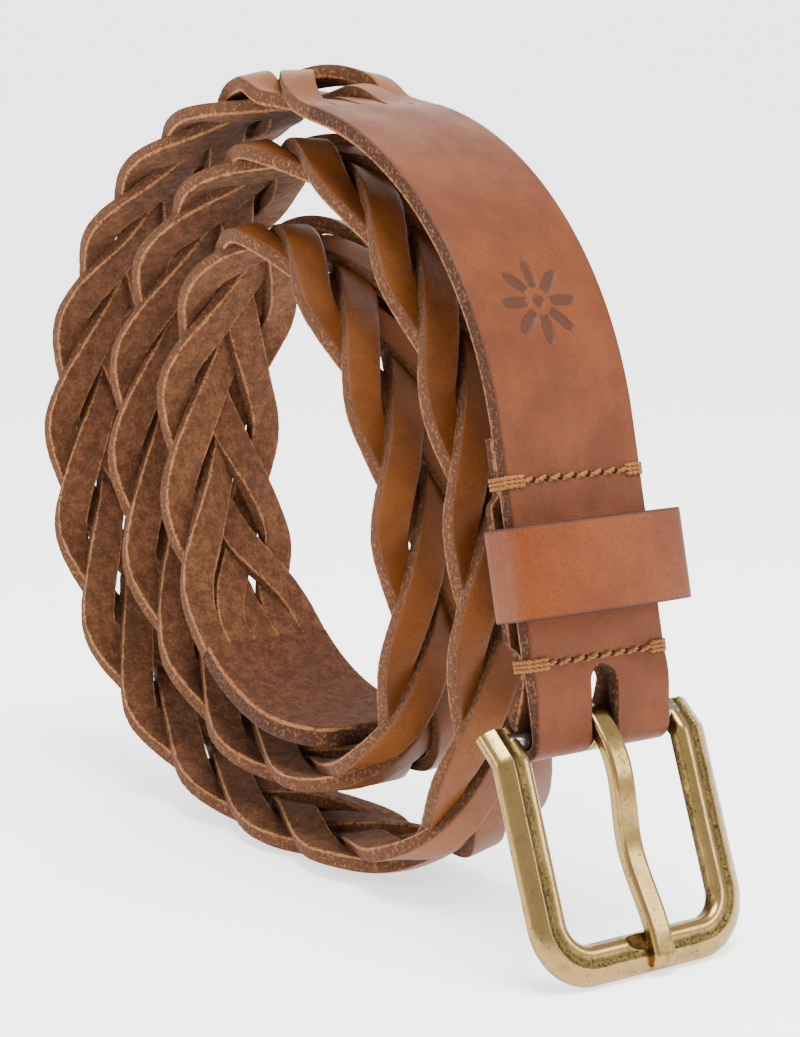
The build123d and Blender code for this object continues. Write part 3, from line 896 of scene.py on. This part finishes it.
# ---- Keeper ------------------------------------------------------------------------------------
# A strip of the same leather bent into a loop. Its ends meet between the strap's two plies,
# where a wire staple closes it. Its cut edges are burnished dark.
keeper_width = 18.8 * MM
keeper_thickness = 2.2 * MM
keeper_crown = 8.2 * MM
keeper_shoulder = 4.8 * MM
keeper_place = 32.9 * MM
keeper_side_room = 2.6 * MM
keeper_ply_gap = 0.35 * MM
keeper_half = strap_width / 2 + keeper_side_room
keeper_back = strap_thickness / 2 + keeper_ply_gap
keeper_bend = 1.6 * MM
keeper_leather = dressed("keeper_leather", hide, {
    "Face": (0.142, 0.030, 0.0014, 1), "Face shade": (0.105, 0.020, 0.0009, 1),
    "Edge": (0.026, 0.008, 0.006, 1), "Flesh": (0.05, 0.015, 0.006, 1),
    "Fuzz": (0.10, 0.038, 0.018, 1), "Face roughness": 0.42, "Pore depth": 0.12, "Burnish": 0.9})


def keeper_line():
    """Inside line of the loop across the strap, with its corners rounded, and its outward way."""
    front = strap_thickness / 2
    rise = keeper_crown - keeper_shoulder
    radius = (keeper_half ** 2 + rise ** 2) / (2 * rise)
    bow = math.asin(keeper_half / radius)
    crown = [(radius * math.sin(a), front + keeper_crown - radius * (1 - math.cos(a)))
             for a in np.linspace(-bow, bow, 41)][1:-1]
    corners = [(keeper_half, front + keeper_shoulder), (keeper_half, -keeper_back),
               (-keeper_half, -keeper_back), (-keeper_half, front + keeper_shoulder)]
    line = list(crown[2:-2])
    stops = np.array([crown[-1]] + corners + [crown[0]])
    for before, place, after in zip(stops, stops[1:], stops[2:]):
        a = place + (before - place) / np.linalg.norm(before - place) * keeper_bend
        b = place + (after - place) / np.linalg.norm(after - place) * keeper_bend
        line += [tuple((1 - t) ** 2 * a + 2 * t * (1 - t) * place + t ** 2 * b)
                 for t in np.linspace(0, 1, 7)]
    return np.array(line)


loop = keeper_line()
loop_ways = np.roll(loop, -1, axis=0) - np.roll(loop, 1, axis=0)
loop_ways = loop_ways / np.linalg.norm(loop_ways, axis=1)[:, None]
stations = []
for (across, out), (way_across, way_out) in zip(loop, loop_ways):
    outward = width_way * -way_out + out_way * way_across
    inside = on_strap(out, keeper_place, across)
    stations.append((inside + outward * keeper_thickness, inside, up_way, keeper_width / 2))
keeper_skin = strip("keeper_skin", stations, even_columns, closed=True)
only(keeper_skin, keeper_leather, "keeper", "keeper")

# ---- Buckle frame ------------------------------------------------------------------------------
# Cast brass frame with an aged finish: a bevelled outer rim, a shallow hollow and a rounded inner
# rim. Its arms turn back at the top to hold the hinge bar, and its front bar has a prong notch.
frame_lean = math.radians(20.5)
frame_reach = 50.6 * MM
arm_width = 8.4 * MM
arm_middle = 23.4 * MM
frame_front = 4.5 * MM
frame_back = 0.3 * MM
frame_corner = 9.3 * MM
arm_top = 3.0 * MM
arm_turn = -4.2 * MM
arm_turn_soft = 1.0 * MM
arm_tilt = math.radians(30.0)
frame_out = Vector((math.cos(frame_lean), 0, math.sin(frame_lean)))
frame_up = Vector((-math.sin(frame_lean), 0, math.cos(frame_lean)))


def on_frame(out, up, across=0.0):
    """Point by the buckle: out of its front and up from the hinge bar."""
    return hinge + frame_out * out + frame_up * up + width_way * across


def aged_brass():
    """Antique brass: bright on worn edges, olive-brown patina and painted shade where a mesh mark is
    high, small dark specks.
    """
    tree, given = shader_group("aged_brass", ("Metal", "Patina and shade", "Grime"), ("Wear",),
                               surface_results)
    place = put(tree, "ShaderNodeTexCoord").outputs["Object"]
    patina_and_shade = put(tree, "ShaderNodeAttribute", attribute_name="patina_and_shade").outputs["Fac"]
    clouds = noise(tree, place, 230.0, 4.0, 0.65)
    specks = noise(tree, place, 1500.0, 3.0, 0.7)
    dull = number(tree, "ADD", patina_and_shade, number(tree, "MULTIPLY_ADD", clouds, 1.5, -0.72))
    dull = number(tree, "SUBTRACT", dull, given["Wear"])
    share = step_up(tree, dull, 0.0, 1.0)
    colour = mix(tree, share, given["Metal"], given["Patina and shade"])
    flecked = number(tree, "ADD", specks, number(tree, "MULTIPLY", share, 0.10))
    spots = step_up(tree, flecked, 0.60, 0.70)
    colour = mix(tree, number(tree, "MULTIPLY", spots, 0.75), colour, given["Grime"])
    rough = number(tree, "MULTIPLY_ADD", share, 0.16, 0.24)
    rough = number(tree, "MULTIPLY_ADD", spots, 0.25, rough)
    waves = noise(tree, place, 160.0, 2.0)
    height = number(tree, "MULTIPLY_ADD", waves, 1.0, number(tree, "MULTIPLY", specks, 0.10))
    normal = put(tree, "ShaderNodeBump", {"Strength": 0.35, "Distance": 0.5 * MM,
                                          "Height": height}).outputs[0]
    put(tree, "NodeGroupOutput", (colour, rough, normal))
    return tree


brass_group = aged_brass()
# The patina colour also serves as painted shade on the frame's cove, inner wall and back.
antique_brass = dressed("antique_brass", brass_group, {
    "Metal": (0.25, 0.160, 0.058, 1), "Patina and shade": (0.075, 0.050, 0.016, 1),
    "Grime": (0.018, 0.011, 0.005, 1), "Wear": -0.02}, metallic=1.0)

# Outline of an arm from its outer edge to its inner one: (in from the outer edge, out, patina and
# painted shade).
# The third column darkens the cove, the foot of the outer wall, the inner wall and the back towards
# the patina colour: partly real patina, partly painted shade, with a painted dark reflection in the
# cove.
arm_outline = [
    (0.3, 0.35, 0.6), (0.0, 0.75, 0.3), (0.0, 1.3, 0.2), (0.05, 1.9, 0.0), (0.35, 2.45, 0.0),
    (1.1, 3.0, 0.15), (2.0, 3.5, 0.15), (2.9, 3.95, 0.0), (3.12, 4.04, 0.0), (3.3, 4.0, 0.4),
    (3.7, 3.84, 0.9), (4.3, 3.72, 1.0), (4.9, 3.76, 0.8), (5.5, 3.92, 0.35), (6.1, 4.04, 0.0),
    (6.7, 4.02, 0.0), (7.25, 3.8, 0.0), (7.75, 3.35, 0.0), (8.1, 2.75, 0.2), (8.3, 2.05, 0.6),
    (8.4, 1.3, 0.9), (8.3, 0.7, 1.0), (8.0, 0.32, 1.0), (7.0, 0.25, 0.8), (4.3, 0.22, 0.8),
    (1.4, 0.25, 0.8)]


def arm_path():
    """Stations down the left arm, round the front bar and up the right arm."""
    low = -frame_reach + arm_width / 2
    corner_side = arm_middle - frame_corner
    half = [(-arm_middle, up, 0.0) for up in np.linspace(arm_top, low + frame_corner, 46)[:-1]]
    for turn in np.linspace(0, 90, 19):
        a = math.radians(turn)
        half.append((-arm_middle + frame_corner * (1 - math.cos(a)),
                     low + frame_corner * (1 - math.sin(a)), a))
    middle = [(across, low, math.pi / 2)
              for across in np.linspace(-corner_side, corner_side, 31)[1:-1]]
    return half + middle + [(-across, up, math.pi - a) for across, up, a in reversed(half)]


points, patina_and_shade_marks = [], []
for across, up, angle in arm_path():
    inward = width_way * math.cos(angle) + frame_up * math.sin(angle)
    back_bend = max(up - arm_turn, 0.0)
    turned = arm_tilt * ease((up - arm_turn + arm_turn_soft) / (2 * arm_turn_soft))
    outward = frame_out * math.cos(turned) + frame_up * math.sin(turned)
    height = up if up < arm_turn else arm_turn + back_bend * math.cos(turned)
    spine = on_frame(frame_front / 2 - back_bend * math.sin(turned), height, across)
    for inset, out, patina_and_shade in arm_outline:
        inset, out = inset * MM, out * MM + frame_back
        points.append(spine + outward * (out - frame_front / 2) + inward * (inset - arm_width / 2))
        patina_and_shade_marks.append(patina_and_shade)
ring = len(arm_outline)
faces = []
for low in range(0, len(points) - ring, ring):
    faces += [(low + j, low + (j + 1) % ring, low + ring + (j + 1) % ring, low + ring + j)
              for j in range(ring)]
faces += [tuple(reversed(range(ring))), tuple(range(len(points) - ring, len(points)))]
frame_mesh = bpy.data.meshes.new("buckle_skin")
frame_mesh.from_pydata(points, [], faces)
frame_mesh.attributes.new("patina_and_shade", "FLOAT", "POINT").data.foreach_set("value", patina_and_shade_marks)
buckle_skin = face_out("buckle_skin", frame_mesh)

# The notch for the prong is a scoop that opens towards the inside of the front bar.
scoop_shift = 2.4 * MM
scoop_out, scoop_up, scoop_half = 2.0 * MM, 4.4 * MM, 4.6 * MM
scoop_place = (frame_front + 0.2 * MM, arm_width - frame_reach + 0.6 * MM)
scoop = bmesh.new()
bmesh.ops.create_uvsphere(scoop, u_segments=40, v_segments=24, radius=1.0)
for vertex in scoop.verts:
    vertex.co = on_frame(scoop_place[0] + vertex.co.x * scoop_out,
                         scoop_place[1] + vertex.co.y * scoop_up,
                         vertex.co.z * scoop_half - scoop_shift)
scoop_mesh = bpy.data.meshes.new("scoop")
scoop.to_mesh(scoop_mesh)
scoop.free()
cut(buckle_skin, scoop_mesh)
smooth_edge = math.radians(38.0)
buckle_skin.data.shade_smooth()
buckle_skin.data.set_sharp_from_angle(angle=smooth_edge)
only(buckle_skin, antique_brass, "buckle_frame", "frame")

# ---- Hinge bar and staple ----------------------------------------------------------------------
# A turned steel pin seated in the frame's ears, and the keeper's bent wire. Both keep their
# plain shapes, as hardly anything of them shows.
plain_steel = dressed("plain_steel", brass_group, {
    "Metal": (0.20, 0.19, 0.17, 1), "Patina and shade": (0.09, 0.085, 0.075, 1),
    "Grime": (0.05, 0.045, 0.04, 1), "Wear": 0.2}, metallic=1.0)
for node in ("hinge_bar", "keeper_staple"):
    plain = frame["nodes"][node]
    plain.data.materials.clear()
    plain.data.materials.append(plain_steel)

# ---- Prong -------------------------------------------------------------------------------------
# A brass bar with softly rounded edges, curled round the hinge bar at its top and bowed so that
# its blunt, bevelled end rests in the notch.
prong_width = 5.4 * MM
prong_thickness = 3.0 * MM
eye_radius = 3.16 * MM
prong_round = 0.9 * MM
prong_blunt = 2.2 * MM
prong_sway = 1.6 * MM
sway_length = 44.0 * MM
prong_knots = np.array([(4.76, -50.0), (4.90, -42.2), (3.16, -25.3), (5.8, -8)]) * MM
eye_start = math.radians(25.0)
eye_end = math.radians(318.0)
eye_first = eye_radius * np.array((math.cos(eye_start), math.sin(eye_start)))
shank = smooth_curve(np.vstack((prong_knots, eye_first)), unit(0, 1),
                     unit(-math.sin(eye_start), math.cos(eye_start)), 90)[0]
curl = [(eye_radius * math.cos(a), eye_radius * math.sin(a))
        for a in np.linspace(eye_start, eye_end, 40)[1:]]
prong_line = np.vstack((shank, curl))
prong_ways = np.gradient(prong_line, axis=0)
prong_ways = prong_ways / np.linalg.norm(prong_ways, axis=1)[:, None]
prong_runs = np.concatenate(([0], np.cumsum(np.linalg.norm(np.diff(prong_line, axis=0), axis=1))))
stations = []
for (out, up), (way_out, way_up), run in zip(prong_line, prong_ways, prong_runs):
    blunt = ease(run / prong_blunt)
    thick = prong_thickness * (0.55 + 0.45 * blunt)
    half = prong_width / 2 * (0.90 + 0.10 * blunt)
    front_way = frame_out * way_up - frame_up * way_out
    sway = prong_sway * ease(1 - run / sway_length)
    middle = on_frame(out, up, sway) - front_way * (prong_thickness - thick) / 2
    stations.append((middle + front_way * thick / 2, middle - front_way * thick / 2,
                     width_way, half))
prong_skin = strip("prong_skin", stations, [k / 6 for k in range(-6, 7)], rounding=prong_round)
worn = [0.25 * (1 - value.value) for value in prong_skin.data.attributes["hide_rim"].data]
prong_skin.data.attributes.new("patina_and_shade", "FLOAT", "POINT").data.foreach_set("value", worn)
clear_marks(prong_skin, ("hide_side", "hide_rim", "hide_pressed"))
only(prong_skin, antique_brass, "prong", "prong")
